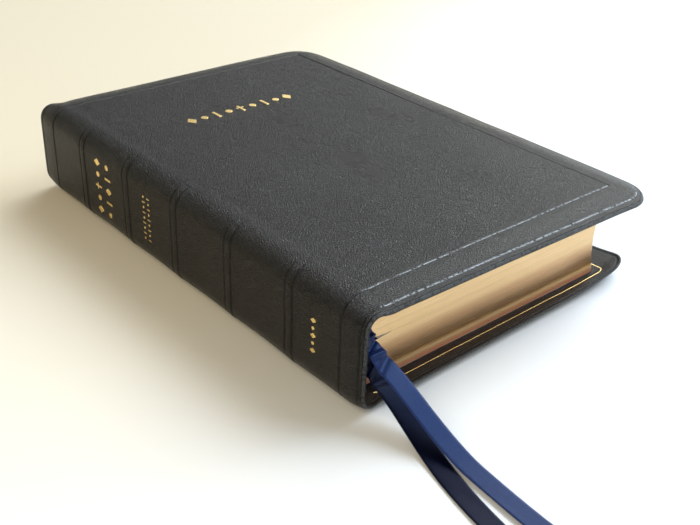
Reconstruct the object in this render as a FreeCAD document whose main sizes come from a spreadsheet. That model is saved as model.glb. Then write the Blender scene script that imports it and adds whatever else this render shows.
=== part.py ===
"""A hand-size bible in limp leather, built as its separate pieces.

The book lies closed on its back cover. +X runs from the spine to the fore-edge, +Y from the tail
to the head, +Z up from the back cover to the front cover. The origin is under the middle of the
closed book, on the surface that it lies on. All sizes are in millimetres.
"""
import FreeCAD, Part
import math
import os
import Sketcher

os.makedirs("parts", exist_ok=True)
doc = FreeCAD.newDocument("bible")
Vector = FreeCAD.Vector
Y_AXIS = Vector(0, 1, 0)

# ---------------------------------------------------------------- driving dimensions
DIMENSIONS = [
    ("text_height", "178", "page height, tail to head"),
    ("text_width", "120", "page width, fold to fore-edge"),
    ("section_thickness", "2.48", "one group of folded sheets"),
    ("section_gap", "0.05", "air between neighbouring groups"),
    ("half_count", "6", "groups in each half of the text block"),
    ("spine_bulge", "2.5", "how far the folds in the middle stand out behind the outer ones"),
    ("ribbon_opening", "1.4", "gap at the page that the ribbons mark"),
    ("square_fore", "11.5", "cover standing out past the fore-edge"),
    ("square_ends", "10", "cover standing out past head and tail"),
    ("corner_radius", "11", "round of the covers' fore-edge corners"),
    ("lip_height", "3.6", "outer face of a cover to the rim of its turned edge"),
    ("edge_round", "2.2", "round of the covers' outer rim"),
    ("leather_thickness", "1.4", "outer leather with its turn-in"),
    ("board_thickness", "0.7", "flexible board"),
    ("lining_thickness", "0.5", "leather lining"),
    ("cloth_thickness", "0.2", "hinge cloth inside the joint"),
    ("cloth_width", "15", "hinge cloth from the joint towards the fore-edge"),
    ("flyleaf_thickness", "0.3", "free endpaper"),
    ("leaf_clearance", "0.3", "front flyleaf to the hinge cloth above it"),
    ("block_clearance", "0.5", "top page to the front flyleaf"),
    ("liner_thickness", "0.8", "card inside the spine leather"),
    ("hollow_gap", "1.2", "air between the spine liner and the middle folds"),
    ("shoulder_radius", "8", "outer round between spine and covers"),
    ("joint_width", "6", "leather strip that the front cover turns on"),
    ("joint_gap", "0.1", "parting line between leather pieces that turn"),
    ("board_setback", "1.5", "turned edge's inside to the rim of the board"),
    ("cover_swing_clearance", "0.2", "front cover's turning line above its outer face"),
    ("thread_diameter", "0.6", "sewing thread"),
    ("thread_clearance", "0.3", "thread to the line that the open halves turn on"),
    ("stitch_length", "24", "one visible stitch"),
    ("fold_line_rise", "1.4", "line that the book opens on, above the middle of the ribbon gap"),
    ("ribbon_width", "7", "satin ribbon marker"),
    ("ribbon_thickness", "0.3", "satin ribbon marker"),
    ("ribbon_setback", "4.8", "upper ribbon's edge to the back of the middle fold"),
    ("ribbon_step", "1.0", "sideways step between the two ribbons"),
    ("ribbon_lift", "0.15", "air under each ribbon"),
    ("ribbon_head_margin", "6", "ribbon's glued end below the head of the pages"),
    ("ribbon_exit", "0.4", "ribbon's flat stretch standing out at the tail"),
]
DERIVED = [
    ("cover_thickness", "=leather_thickness + board_thickness + lining_thickness"),
    ("block_bottom", "=cover_thickness + cloth_thickness + flyleaf_thickness"),
    ("half_thickness", "=half_count * section_thickness + (half_count - 1) * section_gap"),
    ("block_thickness", "=2 * half_thickness + ribbon_opening"),
    ("block_middle", "=block_bottom + block_thickness / 2"),
    ("leaf_bottom", "=block_bottom + block_thickness + block_clearance"),
    ("book_thickness", "=leaf_bottom + flyleaf_thickness + leaf_clearance + cloth_thickness + cover_thickness"),
    ("text_setback", "=leather_thickness + liner_thickness + hollow_gap + spine_bulge"),
    ("book_width", "=text_setback + text_width + square_fore"),
    ("book_height", "=text_height + 2 * square_ends"),
    ("spine_left", "=-book_width / 2"),
    ("cover_left", "=spine_left + shoulder_radius + joint_width"),
    ("fore_right", "=book_width / 2"),
    ("text_left", "=spine_left + text_setback"),
    ("text_right", "=text_left + text_width"),
    ("spine_flat", "=book_thickness - 2 * shoulder_radius"),
]

sheet = doc.addObject("Spreadsheet::Sheet", "size")
for row, (alias, value, note) in enumerate(DIMENSIONS, start=1):
    sheet.set(f"A{row}", note)
    sheet.set(f"B{row}", value)
    sheet.setAlias(f"B{row}", alias)
for row, (alias, formula) in enumerate(DERIVED, start=len(DIMENSIONS) + 1):
    sheet.set(f"A{row}", alias)
    sheet.set(f"B{row}", formula)
    sheet.setAlias(f"B{row}", alias)
doc.recompute()


def value(alias):
    """A size from the sheet, as a plain number."""
    return float(sheet.get(alias))


def bind(feature, **formulas):
    """Tie a feature's properties to the sheet. Underscores in a key stand for dots."""
    for key, formula in formulas.items():
        words = formula
        for alias in sorted(ALIASES, key=len, reverse=True):
            words = words.replace(f"[{alias}]", f"size.{alias}")
        feature.setExpression(key.replace("__", "."), words)


ALIASES = [entry[0] for entry in DIMENSIONS] + [entry[0] for entry in DERIVED]
PIECES = []


def keep(feature, label):
    """Name a finished piece. Its label is its file name."""
    feature.Label = label
    PIECES.append(feature)
    return feature


# ---------------------------------------------------------------- building blocks
def box(name, x0, x1, y0, y1, z0, z1):
    """A box between six faces, each given as a formula on the sheet."""
    piece = doc.addObject("Part::Box", name)
    bind(piece, Length=f"({x1}) - ({x0})", Width=f"({y1}) - ({y0})", Height=f"({z1}) - ({z0})")
    bind(piece, Placement__Base__x=x0, Placement__Base__y=y0, Placement__Base__z=z0)
    return piece


def bar_along_y(name, radius, x, y0, length, z):
    """A round bar parallel to the spine."""
    piece = doc.addObject("Part::Cylinder", name)
    piece.Placement = FreeCAD.Placement(Vector(), FreeCAD.Rotation(Vector(1, 0, 0), -90))
    bind(piece, Radius=radius, Height=length)
    bind(piece, Placement__Base__x=x, Placement__Base__y=y0, Placement__Base__z=z)
    return piece


def origin_plane(body, role):
    """One of a body's own origin planes."""
    return next(item for item in body.Origin.OriginFeatures if item.Role == role)


def leaf_sketch(body, name, x0, x1, height, radius, level):
    """Outline of a leaf: square corners at the spine side, round ones at the fore-edge."""
    sketch = body.newObject("Sketcher::SketchObject", name)
    sketch.AttachmentSupport = [(origin_plane(body, "XY_Plane"), "")]
    sketch.MapMode = "FlatFace"
    bind(sketch, AttachmentOffset__Base__z=level)
    left, right, top, corner = -50.0, 50.0, 80.0, 10.0
    quarter = math.pi / 2

    def line(xa, ya, xb, yb):
        return sketch.addGeometry(Part.LineSegment(Vector(xa, ya, 0), Vector(xb, yb, 0)))

    def arc(xc, yc, start):
        circle = Part.Circle(Vector(xc, yc, 0), Vector(0, 0, 1), corner)
        return sketch.addGeometry(Part.ArcOfCircle(circle, start, start + quarter))

    tail = line(left, -top, right - corner, -top)
    tail_corner = arc(right - corner, -top + corner, -quarter)
    fore = line(right, -top + corner, right, top - corner)
    head_corner = arc(right - corner, top - corner, 0.0)
    head = line(right - corner, top, left, top)
    spine = line(left, top, left, -top)
    rule = Sketcher.Constraint
    for first, second in [(tail, tail_corner), (tail_corner, fore), (fore, head_corner), (head_corner, head)]:
        sketch.addConstraint(rule("Tangent", first, 2, second, 1))
    for first, second in [(head, spine), (spine, tail)]:
        sketch.addConstraint(rule("Coincident", first, 2, second, 1))
    sketch.addConstraint(rule("Horizontal", tail))
    sketch.addConstraint(rule("Horizontal", head))
    sketch.addConstraint(rule("Vertical", fore))
    sketch.addConstraint(rule("Symmetric", spine, 1, spine, 2, -1))
    sketch.addConstraint(rule("Equal", tail_corner, head_corner))
    measures = [
        ("corner", rule("Radius", tail_corner, corner), radius),
        ("height", rule("DistanceY", spine, 2, spine, 1, 2 * top), height),
        ("spine_side", rule("DistanceX", spine, 1, -1, 1, -left), f"-({x0})"),
        ("fore_side", rule("DistanceX", -1, 1, fore, 1, right), x1),
    ]
    for label, constraint, formula in measures:
        index = sketch.addConstraint(constraint)
        sketch.renameConstraint(index, label)
        bind(sketch, **{f"Constraints__{label}": formula})
    return sketch


def leaf_body(label, x0, x1, height, radius, level, thickness):
    """A flat sheet with round fore-edge corners."""
    body = doc.addObject("PartDesign::Body", label)
    outline = leaf_sketch(body, f"{label}_outline", x0, x1, height, radius, level)
    pad = body.newObject("PartDesign::Pad", f"{label}_pad")
    pad.Profile = outline
    bind(pad, Length=thickness)
    body.Tip = pad
    doc.recompute()
    return body


def edges_at(shape, level, inset):
    """Names of the outline edges at one height, leaving out the straight one at the spine side."""
    spine_side = value("cover_left") + value("joint_gap") + inset
    names = []
    for number, edge in enumerate(shape.Edges, start=1):
        box_of_edge = edge.BoundBox
        level_match = abs(box_of_edge.ZMin - level) < 1e-6 and abs(box_of_edge.ZMax - level) < 1e-6
        at_spine = box_of_edge.XMax < spine_side + 1e-6
        if level_match and not at_spine:
            names.append(f"Edge{number}")
    return names


def cover_leather(label, left):
    """Leather of one cover: a thin plate with its three free edges turned and rounded."""
    body = leaf_body(label, left, "[fore_right]", "[book_height]", "[corner_radius]", "0", "[lip_height]")
    volume = body.Shape.Volume
    inside = leaf_sketch(
        body, f"{label}_inside", f"({left}) - 1", "[fore_right] - [leather_thickness]",
        "[book_height] - 2 * [leather_thickness]", "[corner_radius] - [leather_thickness]", "[lip_height]")
    pocket = body.newObject("PartDesign::Pocket", f"{label}_tray")
    pocket.Profile = inside
    bind(pocket, Length="[lip_height] - [leather_thickness]")
    body.Tip = pocket
    doc.recompute()
    if body.Shape.Volume > 0.8 * volume:
        raise RuntimeError(f"{label}: the pocket took nothing away")
    rim = body.newObject("PartDesign::Fillet", f"{label}_rim")
    outer = [name for name in edges_at(body.Shape, 0.0, 0.0)]
    rim.Base = (pocket, outer)
    bind(rim, Radius="[edge_round]")
    body.Tip = rim
    doc.recompute()
    return body


def turn_over(body):
    """Lay a piece made for the back cover face down on top of the book."""
    body.Placement = FreeCAD.Placement(Vector(), FreeCAD.Rotation(Vector(1, 0, 0), 180))
    bind(body, Placement__Base__z="[book_thickness]")


# ---------------------------------------------------------------- covers
def cover(side, left):
    """Leather, board and lining of one cover, modelled lying on its outer face."""
    pieces = []
    pieces.append(keep(cover_leather(f"{side}_cover_leather", left), f"{side}_cover_leather"))
    inset = "([leather_thickness] + [board_setback])"
    inner_left = "([cover_left] + [joint_gap])"
    layers = [
        ("board", "[leather_thickness]", "[board_thickness]"),
        ("lining", "[leather_thickness] + [board_thickness]", "[lining_thickness]"),
    ]
    for layer, level, thickness in layers:
        label = f"{side}_cover_{layer}"
        piece = leaf_body(label, inner_left, f"[fore_right] - {inset}", f"[book_height] - 2 * {inset}",
                          f"[corner_radius] - {inset}", level, thickness)
        pieces.append(keep(piece, label))
    cloth = box(f"{side}_hinge_cloth", f"{inner_left} + [board_setback]",
                f"{inner_left} + [board_setback] + [cloth_width]", "-[text_height] / 2", "[text_height] / 2",
                "0", "[cloth_thickness]")
    bind(cloth, Placement__Base__z="[cover_thickness]")
    pieces.append(keep(cloth, f"{side}_hinge_cloth"))
    return pieces


cover("back", "([spine_left] + [shoulder_radius] + [joint_gap])")
for front_piece in cover("front", "([cover_left] + [joint_gap])"):
    if front_piece.TypeId == "PartDesign::Body":
        turn_over(front_piece)
    else:
        bind(front_piece, Placement__Base__z="[book_thickness] - [cover_thickness] - [cloth_thickness]")

# ---------------------------------------------------------------- spine, shoulders and joint strip
HEAD, TAIL = "[book_height] / 2", "-[book_height] / 2"
spine_leather = box("spine_leather", "[spine_left]", "[spine_left] + [leather_thickness]", TAIL, HEAD,
                    "[shoulder_radius]", "[book_thickness] - [shoulder_radius]")
keep(spine_leather, "spine_leather")
liner_edge = "([shoulder_radius] + [liner_thickness])"
spine_liner = box("spine_liner", "[spine_left] + [leather_thickness]",
                  "[spine_left] + [leather_thickness] + [liner_thickness]",
                  "-[text_height] / 2", "[text_height] / 2", liner_edge, f"[book_thickness] - {liner_edge}")
keep(spine_liner, "spine_liner")
front_joint = box("front_joint_leather", "[spine_left] + [shoulder_radius] + [joint_gap]", "[cover_left]",
                  TAIL, HEAD, "[book_thickness] - [leather_thickness]", "[book_thickness]")
keep(front_joint, "front_joint_leather")


def shoulder(label, level, start):
    """A quarter tube of leather between the spine and a cover, a parting line short at each end."""
    turn = math.degrees(value("joint_gap") / value("shoulder_radius"))
    rolls = []
    for name, radius in (("outside", "[shoulder_radius]"), ("inside", "[shoulder_radius] - [leather_thickness]")):
        roll = bar_along_y(f"{label}_{name}", radius, "[spine_left] + [shoulder_radius]", TAIL,
                           "[book_height]", level)
        quarter = FreeCAD.Rotation(Y_AXIS, start + turn)
        roll.Placement = FreeCAD.Placement(roll.Placement.Base, quarter.multiply(roll.Placement.Rotation))
        bind(roll, Angle="90 deg - 2 * [joint_gap] / [shoulder_radius] * 180 deg / pi")
        rolls.append(roll)
    ring = doc.addObject("Part::Cut", label)
    ring.Base, ring.Tool = rolls
    return keep(ring, label)


shoulder("back_shoulder_leather", "[shoulder_radius]", 90)
shoulder("front_shoulder_leather", "[book_thickness] - [shoulder_radius]", 180)

# ---------------------------------------------------------------- text block
SECTIONS = 2 * int(value("half_count"))
STITCHES = 5


def section_level(number):
    """Formula for the middle height of one group of sheets, counted from the back cover."""
    steps = number - 1
    level = f"[block_bottom] + {steps} * ([section_thickness] + [section_gap]) + [section_thickness] / 2"
    if number > SECTIONS // 2:
        level += " + [ribbon_opening] - [section_gap]"
    return f"({level})"


def section_back(number):
    """Formula for the back of its fold: the folds lie on a shallow round, fullest in the middle."""
    share = f"(({section_level(number)} - [block_middle]) / ([block_thickness] / 2))"
    return f"([text_left] - [spine_bulge] * (1 - {share} * {share}))"


def section(number):
    """One group of folded sheets: a slab of pages with a round fold along the spine."""
    label = f"section_{number:02d}"
    level, back = section_level(number), section_back(number)
    fold_radius = "[section_thickness] / 2"
    fold = bar_along_y(f"{label}_fold", fold_radius, f"{back} + {fold_radius}", "-[text_height] / 2",
                       "[text_height]", level)
    pages = box(f"{label}_pages", f"{back} + {fold_radius}", f"{back} + [text_width]", "-[text_height] / 2",
                "[text_height] / 2", f"{level} - {fold_radius}", f"{level} + {fold_radius}")
    whole = doc.addObject("Part::Fuse", label)
    whole.Base, whole.Tool = fold, pages
    whole.Refine = True
    return keep(whole, label)


def sewing(number):
    """Thread of one group: a row of long stitches lying on its fold."""
    label = f"section_{number:02d}_sewing"
    pitch = f"([text_height] / {STITCHES})"
    stitches = []
    for count in range(STITCHES):
        start = f"-[text_height] / 2 + {pitch} * {count} + ({pitch} - [stitch_length]) / 2"
        stitches.append(bar_along_y(f"{label}_{count + 1}", "[thread_diameter] / 2",
                                    f"{section_back(number)} - [thread_diameter] / 2", start,
                                    "[stitch_length]", section_level(number)))
    row = doc.addObject("Part::Compound", label)
    row.Links = stitches
    return keep(row, label)


for section_number in range(1, SECTIONS + 1):
    section(section_number)
    sewing(section_number)

# ---------------------------------------------------------------- flyleaves
LEAF_LEFT = "([cover_left] + [joint_gap] + [board_setback])"
rear_flyleaf = box("rear_flyleaf", LEAF_LEFT, "[text_right]", "-[text_height] / 2", "[text_height] / 2",
                   "[block_bottom] - [flyleaf_thickness]", "[block_bottom]")
keep(rear_flyleaf, "rear_flyleaf")
front_flyleaf = box("front_flyleaf", LEAF_LEFT, "[text_right]", "-[text_height] / 2", "[text_height] / 2",
                    "[leaf_bottom]", "[leaf_bottom] + [flyleaf_thickness]")
keep(front_flyleaf, "front_flyleaf")

# ---------------------------------------------------------------- ribbon markers
GAP_FLOOR = "([block_middle] - [ribbon_opening] / 2)"
MIDDLE_FOLD = section_back(SECTIONS // 2)


def ribbon(name, step, layer):
    """The stretch of a ribbon that lies flat between the pages."""
    edge = f"({MIDDLE_FOLD} + [ribbon_setback] - {step} * [ribbon_step] - [ribbon_lift])"
    under = f"({GAP_FLOOR} + [ribbon_lift] + {layer} * ([ribbon_lift] + [ribbon_thickness]))"
    strip = box(name, edge, f"{edge} + [ribbon_width]", "-[text_height] / 2 - [ribbon_exit]",
                "[text_height] / 2 - [ribbon_head_margin]", under, f"{under} + [ribbon_thickness]")
    return keep(strip, name)


ribbon("upper_ribbon_in_pages", 0, 1)
ribbon("lower_ribbon_in_pages", 3, 0)

# Free ends of the two ribbons: out at the tail, over the edge of the back cover and along the
# surface that the book lies on. Each point is (x from the back of the spine, y from the tail of
# the pages, height).
UPPER_ROUTE = [
    (9.0, -0.4, 18.9), (9.0, -10, 18.7), (9.8, -20, 14.3), (11.4, -29, 8.2), (12.4, -39, 4.1),
    (11.9, -51, 3.6), (10.4, -64, 3.6), (9.2, -77, 3.6), (10.6, -89, 3.6), (13.2, -100, 3.6),
]
LOWER_ROUTE = [
    (6.9, -0.4, 18.4), (6.8, -10, 18.1), (5.9, -19.5, 14.0), (5.8, -29, 7.6), (5.0, -39.5, 3.7),
    (3.0, -51, 3.6), (0.6, -63, 3.6), (-2.4, -74, 3.6), (-4.6, -85, 3.6), (-5.4, -96, 3.6),
]
ARC_SHARE = 0.45


def route_in_frame(route):
    """Put a ribbon's points in the frame of the book."""
    spine_back = value("spine_left")
    tail = -value("text_height") / 2
    return [Vector(spine_back + across, tail + along, height) for across, along, height in route]


def rounded_path(points):
    """Straight runs joined by tangent arcs, each as large as its two runs allow."""
    edges, radii = [], []
    start = points[0]
    for before, corner, after in zip(points, points[1:], points[2:]):
        back, ahead = (before - corner), (after - corner)
        shorter = min(back.Length, ahead.Length)
        back.normalize()
        ahead.normalize()
        half_turn = (math.pi - back.getAngle(ahead)) / 2
        radius = ARC_SHARE * shorter / math.tan(half_turn)
        radii.append(radius)
        enter = corner + back * (ARC_SHARE * shorter)
        leave = corner + ahead * (ARC_SHARE * shorter)
        inward = back + ahead
        inward.normalize()
        centre = corner + inward * (radius / math.cos(half_turn))
        middle = centre - inward * radius
        edges.append(Part.LineSegment(start, enter).toShape())
        edges.append(Part.Arc(enter, middle, leave).toShape())
        start = leave
    edges.append(Part.LineSegment(start, points[-1]).toShape())
    return Part.Wire(edges), radii


def ribbon_tail(name, route):
    """A plain tube along the free end of one ribbon, as thick as the ribbon is wide."""
    path, radii = rounded_path(route_in_frame(route))
    radius = value("ribbon_width") / 2
    first = path.Edges[0]
    ring = Part.Circle(first.valueAt(first.FirstParameter), first.tangentAt(first.FirstParameter), radius)
    tube = path.makePipeShell([Part.Wire([ring.toShape()])], True, True)
    ratio = tube.Volume / (math.pi * radius ** 2 * path.Length)
    print(f"{name}: length {path.Length:.1f}, radii {[round(r, 1) for r in radii]}, volume ratio {ratio:.4f}")
    feature = doc.addObject("Part::Feature", name)
    feature.Shape = tube
    feature.Placement = FreeCAD.Placement()
    return keep(feature, name)


ribbon_tail("upper_ribbon_tail", UPPER_ROUTE)
ribbon_tail("lower_ribbon_tail", LOWER_ROUTE)

# ---------------------------------------------------------------- turning lines
doc.recompute()
middle_back = doc.getObject(f"section_{SECTIONS // 2:02d}").Shape.BoundBox.XMin
fold_x = middle_back - value("thread_diameter") - value("thread_clearance")
fold_z = value("block_middle") + value("fold_line_rise")
radius_of_shoulder = value("shoulder_radius")
TURNING_LINES = {
    "back_shoulder": (value("spine_left") + radius_of_shoulder, 0.0),
    "spine": (value("spine_left"), radius_of_shoulder),
    "front_shoulder": (value("spine_left"), value("book_thickness") - radius_of_shoulder),
    "front_joint": (value("spine_left") + radius_of_shoulder, value("book_thickness")),
    "front_cover": (value("cover_left"), value("book_thickness") + value("cover_swing_clearance")),
    "front_flyleaf": (value("cover_left") + value("joint_gap") + value("board_setback"), value("leaf_bottom")),
    "book_fold": (fold_x, fold_z),
}
for line_name, (line_x, line_z) in TURNING_LINES.items():
    print(f"turning line {line_name} {line_x:.4f} {line_z:.4f}")
print(f"book {value('book_width'):.2f} x {value('book_height'):.2f} x {value('book_thickness'):.2f}")

# ---------------------------------------------------------------- checks and files
for item in doc.Objects:
    if "Invalid" in item.State or "Error" in item.State:
        raise RuntimeError(f"{item.Label} did not build: {item.State}")
for piece in PIECES:
    if piece.Shape.isNull() or not piece.Shape.isValid():
        raise RuntimeError(f"{piece.Label} has no valid shape")
for piece in PIECES:
    piece.Shape.exportStep(f"parts/{piece.Label}.step")
    print(f"{piece.Label}: {piece.Shape.Volume:.1f} mm3, {len(piece.Shape.Solids)} solids")
print(f"{len(PIECES)} pieces")
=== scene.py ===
# %% [markdown]
# # A limp leather bible with gilt edges and two ribbon markers
# Every piece below is built around a fixed frame: the working model of the book,
# with its covers, page sections and ribbons already in place and in metres.
# We load that frame first.

import math

import bpy
import numpy as np
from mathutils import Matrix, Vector


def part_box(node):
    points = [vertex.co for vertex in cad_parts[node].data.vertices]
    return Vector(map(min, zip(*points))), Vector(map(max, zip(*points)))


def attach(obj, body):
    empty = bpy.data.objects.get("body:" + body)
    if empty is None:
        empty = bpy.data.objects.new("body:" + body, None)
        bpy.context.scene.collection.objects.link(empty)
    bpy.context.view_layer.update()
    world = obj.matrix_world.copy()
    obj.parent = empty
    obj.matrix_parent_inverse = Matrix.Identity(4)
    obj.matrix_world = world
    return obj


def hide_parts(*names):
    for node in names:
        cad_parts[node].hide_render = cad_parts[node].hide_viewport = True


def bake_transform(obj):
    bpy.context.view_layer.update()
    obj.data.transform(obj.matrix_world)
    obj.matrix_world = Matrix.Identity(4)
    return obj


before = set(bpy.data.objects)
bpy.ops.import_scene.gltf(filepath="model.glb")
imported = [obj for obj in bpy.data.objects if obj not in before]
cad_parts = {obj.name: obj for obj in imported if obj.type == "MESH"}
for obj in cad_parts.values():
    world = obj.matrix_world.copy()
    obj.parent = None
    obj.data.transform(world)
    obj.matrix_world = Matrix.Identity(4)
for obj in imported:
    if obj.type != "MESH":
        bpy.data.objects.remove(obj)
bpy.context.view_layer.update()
MM = 0.001

# %% [markdown]
# ## The measures of the book
# All positions come from the boxes of the frame's own nodes, so that the leather,
# the pages and the ribbons stay where the working model has them.
# The cover is thought of as one flat hide that is wrapped round the book: `girth`
# runs along the hide, from the middle of the spine to a fore-edge.

# %% Read the measures from the frame
cover_low, cover_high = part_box("front_cover_leather")
shoulder_low, shoulder_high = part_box("front_shoulder_leather")
first_low, first_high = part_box("section_01")
last_low, last_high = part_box("section_12")
BOOK_TOP = cover_high.z
HALF_HEIGHT = cover_high.y
FORE_EDGE = cover_high.x
SPINE_BACK = shoulder_low.x
TURNING_LINE_GAP = 0.08 * MM
SHOULDER = shoulder_high.z - BOOK_TOP / 2 - (shoulder_low.z - BOOK_TOP / 2) + TURNING_LINE_GAP
JOINT_X = SPINE_BACK + SHOULDER
COVER_X = cover_low.x
PAGES_TAIL = first_low.y
PAGES_HEAD = first_high.y
FLAT_SPINE = BOOK_TOP / 2 - SHOULDER
SHOULDER_GIRTH = SHOULDER * math.pi / 2
COVER_GIRTH = FORE_EDGE - JOINT_X
HALF_GIRTH = FLAT_SPINE + SHOULDER_GIRTH + COVER_GIRTH
CORNER = 11 * MM
TAIL_LIP = HALF_HEIGHT - PAGES_HEAD
FORE_LIP = FORE_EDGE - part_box("rear_flyleaf")[1].x
print("half girth %.1f mm, shoulder %.2f mm" % (HALF_GIRTH / MM, SHOULDER / MM))

# %% [markdown]
# ## Camera
# The book is seen from above its tail and spine, a hand's length away, with the
# camera tipped very slightly. The eye point and the three turns are set directly;
# a look-at target would not give the small tip.

# %% Camera
EYE = (-228.37 * MM, -267.87 * MM, 188.40 * MM)
HEADING, DIP, TIP = 0.7377, 0.5213, 0.0425
FOCAL_IN_WIDTHS = 995.97 / 700
SENSOR = 36.0

ahead = Vector((math.sin(HEADING) * math.cos(DIP), math.cos(HEADING) * math.cos(DIP),
                -math.sin(DIP)))
level_right = ahead.cross(Vector((0, 0, 1))).normalized()
level_up = level_right.cross(ahead)
right = math.cos(TIP) * level_right + math.sin(TIP) * level_up
up = -math.sin(TIP) * level_right + math.cos(TIP) * level_up
camera_data = bpy.data.cameras.new("camera")
camera_data.sensor_width = SENSOR
camera_data.lens = FOCAL_IN_WIDTHS * SENSOR
camera_data.clip_start = 0.01
camera = bpy.data.objects.new("camera", camera_data)
bpy.context.scene.collection.objects.link(camera)
turn = camera.matrix_world.to_3x3()
for row in range(3):
    turn[row] = (right[row], up[row], -ahead[row])
camera.matrix_world = turn.to_4x4()
camera.matrix_world.translation = EYE
bpy.context.scene.camera = camera
print("lens %.1f mm" % camera_data.lens)

# %% [markdown]
# ## Finishes
# A finish is a tree of shading nodes. The first two helpers start a finish and add
# nodes to it. The rest are short names for the nodes used most.

# %% Helpers for finishes
def new_finish(name, **on_shader):
    """A material with one shader, whose named sockets are set directly."""
    material = bpy.data.materials.new(name)
    material.use_nodes = True
    shader = material.node_tree.nodes["Principled BSDF"]
    for socket, value in on_shader.items():
        shader.inputs[socket.replace("_", " ")].default_value = value
    return material, material.node_tree, shader


def add(tree, kind, settings=None, **inputs):
    """One shading node. An input is a value or another node's output."""
    node = tree.nodes.new("ShaderNode" + kind)
    for name, value in (settings or {}).items():
        setattr(node, name, value)
    for name, value in inputs.items():
        by_number = name[0] == "i" and name[1:].isdigit()
        socket = node.inputs[int(name[1:]) if by_number else name.replace("_", " ")]
        if isinstance(value, bpy.types.NodeSocket):
            tree.links.new(value, socket)
        else:
            socket.default_value = value
    return node


def stretched(tree, scale, output="Object"):
    """Coordinates of the piece, in metres, scaled along each axis."""
    place = add(tree, "TexCoord")
    return add(tree, "Mapping", Vector=place.outputs[output], Scale=scale).outputs[0]


def math_node(tree, operation, first, second=0.0):
    return add(tree, "Math", {"operation": operation}, i0=first, i1=second).outputs[0]


def times(tree, first, second):
    return math_node(tree, "MULTIPLY", first, second)


def plus(tree, first, second):
    return math_node(tree, "ADD", first, second)


def noise(tree, place, scale=1.0, detail=2.0, **more):
    """Cloudy noise, mostly between 0.3 and 0.7."""
    return add(tree, "TexNoise", Vector=place, Scale=scale, Detail=detail,
               **more).outputs["Fac"]


def spread(tree, value, start, end, low=0.0, high=1.0, smooth=False):
    """Turns start...end into low...high, with soft ends if smooth."""
    settings = {"interpolation_type": "SMOOTHSTEP"} if smooth else None
    return add(tree, "MapRange", settings, Value=value, i1=start, i2=end, i3=low,
               i4=high).outputs[0]


def painted_over(tree, under, share, over):
    """The colour under, with a share of a plain colour over it."""
    mix = add(tree, "Mix", {"data_type": "RGBA"}, i0=share)
    tree.links.new(under, mix.inputs[6])
    mix.inputs[7].default_value = (*over, 1)
    return mix.outputs[2]


def feed(tree, shader, **outputs):
    for socket, output in outputs.items():
        tree.links.new(output, shader.inputs[socket.replace("_", " ")])


def ramp(tree, factor, *stops):
    """A colour ramp from (position, colour) stops."""
    node = add(tree, "ValToRGB", Fac=factor)
    band = node.color_ramp.elements
    while len(band) < len(stops):
        band.new(0.5)
    for element, (position, colour) in zip(band, stops):
        element.position = position
        element.color = (*colour, 1)
    return node.outputs[0]


def bump(tree, height, distance, strength=1.0):
    return add(tree, "Bump", Height=height, Distance=distance,
               Strength=strength).outputs[0]


# %% [markdown]
# ## Leather
# Goatskin has a pebbled grain: small smooth islands a millimetre across, parted by
# fine creases that run a little further one way than the other. Cell noise gives
# both the islands and the creases, and a slow noise bends them so that no row shows.
# The height goes to the bump, and the same creases are painted darker, as painted shade. Along the tool
# lines at the tail and on the rolled rims a pale bluish highlight is painted.

# %% Leather finish
GRAIN_DEPTH = 0.00040
GRAIN_STRETCH = (1.35, 0.6, 1.35)
ISLANDS_PER_METRE, CREASES_PER_METRE, PORES_PER_METRE = 1800.0, 900.0, 2600.0
GRAIN_BEND = 0.0018
# The colour of the painted highlight along the tail tool lines and the rolled rims.
PAINTED_HIGHLIGHT = (0.50, 0.57, 0.66)


def cells(tree, place, scale):
    """The distance to the nearest wall of a pattern of cells."""
    return add(tree, "TexVoronoi", {"feature": "DISTANCE_TO_EDGE"},
               Vector=place, Scale=scale).outputs["Distance"]


def leather(name, island, crease_shade, gloss, grain_size=1.0, with_painted_highlight=True):
    material, tree, shader = new_finish(name, Specular_IOR_Level=0.38)
    place = stretched(tree, GRAIN_STRETCH)
    drift = add(tree, "TexNoise", Vector=place, Scale=260.0, Detail=2.0)
    bent = add(tree, "VectorMath", {"operation": "MULTIPLY_ADD"},
               i0=drift.outputs["Color"], i1=(GRAIN_BEND,) * 3, i2=place).outputs[0]
    islands = cells(tree, bent, ISLANDS_PER_METRE / grain_size)
    creases = cells(tree, bent, CREASES_PER_METRE / grain_size)
    pores = noise(tree, place, PORES_PER_METRE, 3.0)
    domes = ramp(tree, islands, (0.0, (0, 0, 0)), (0.16, (0.7,) * 3), (0.4, (1, 1, 1)))
    folds = ramp(tree, creases, (0.0, (0, 0, 0)), (0.10, (0.85,) * 3), (0.3, (1, 1, 1)))
    height = plus(tree, times(tree, domes, 0.55), times(tree, folds, 0.38))
    height = plus(tree, height, times(tree, pores, 0.22))
    patches = noise(tree, place, 28.0, 4.0)
    tone = times(tree, height, plus(tree, patches, 0.35))
    # Dark where the grain is low, in the creases, as painted shade; the patches vary the tone at random.
    colour = ramp(tree, tone, (0.2, crease_shade), (0.95, island))
    rough = spread(tree, patches, 0.3, 0.7, gloss - 0.05, gloss + 0.07)
    # Along the tail tool lines and rims the colour is painted paler and bluer, in dashes, as painted
    # highlight; the attribute holds how strongly.
    if with_painted_highlight:
        highlight_share = add(tree, "Attribute", {"attribute_name": "painted_highlight"}).outputs["Fac"]
        highlight_dashes = spread(tree, noise(tree, stretched(tree, (900, 900, 900))), 0.36, 0.54)
        colour = painted_over(tree, colour, times(tree, highlight_share, highlight_dashes), PAINTED_HIGHLIGHT)
        rough = math_node(tree, "SUBTRACT", rough, times(tree, highlight_share, 0.2))
    feed(tree, shader, Base_Color=colour, Roughness=rough, Normal=bump(tree, height, GRAIN_DEPTH))
    return material


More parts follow.
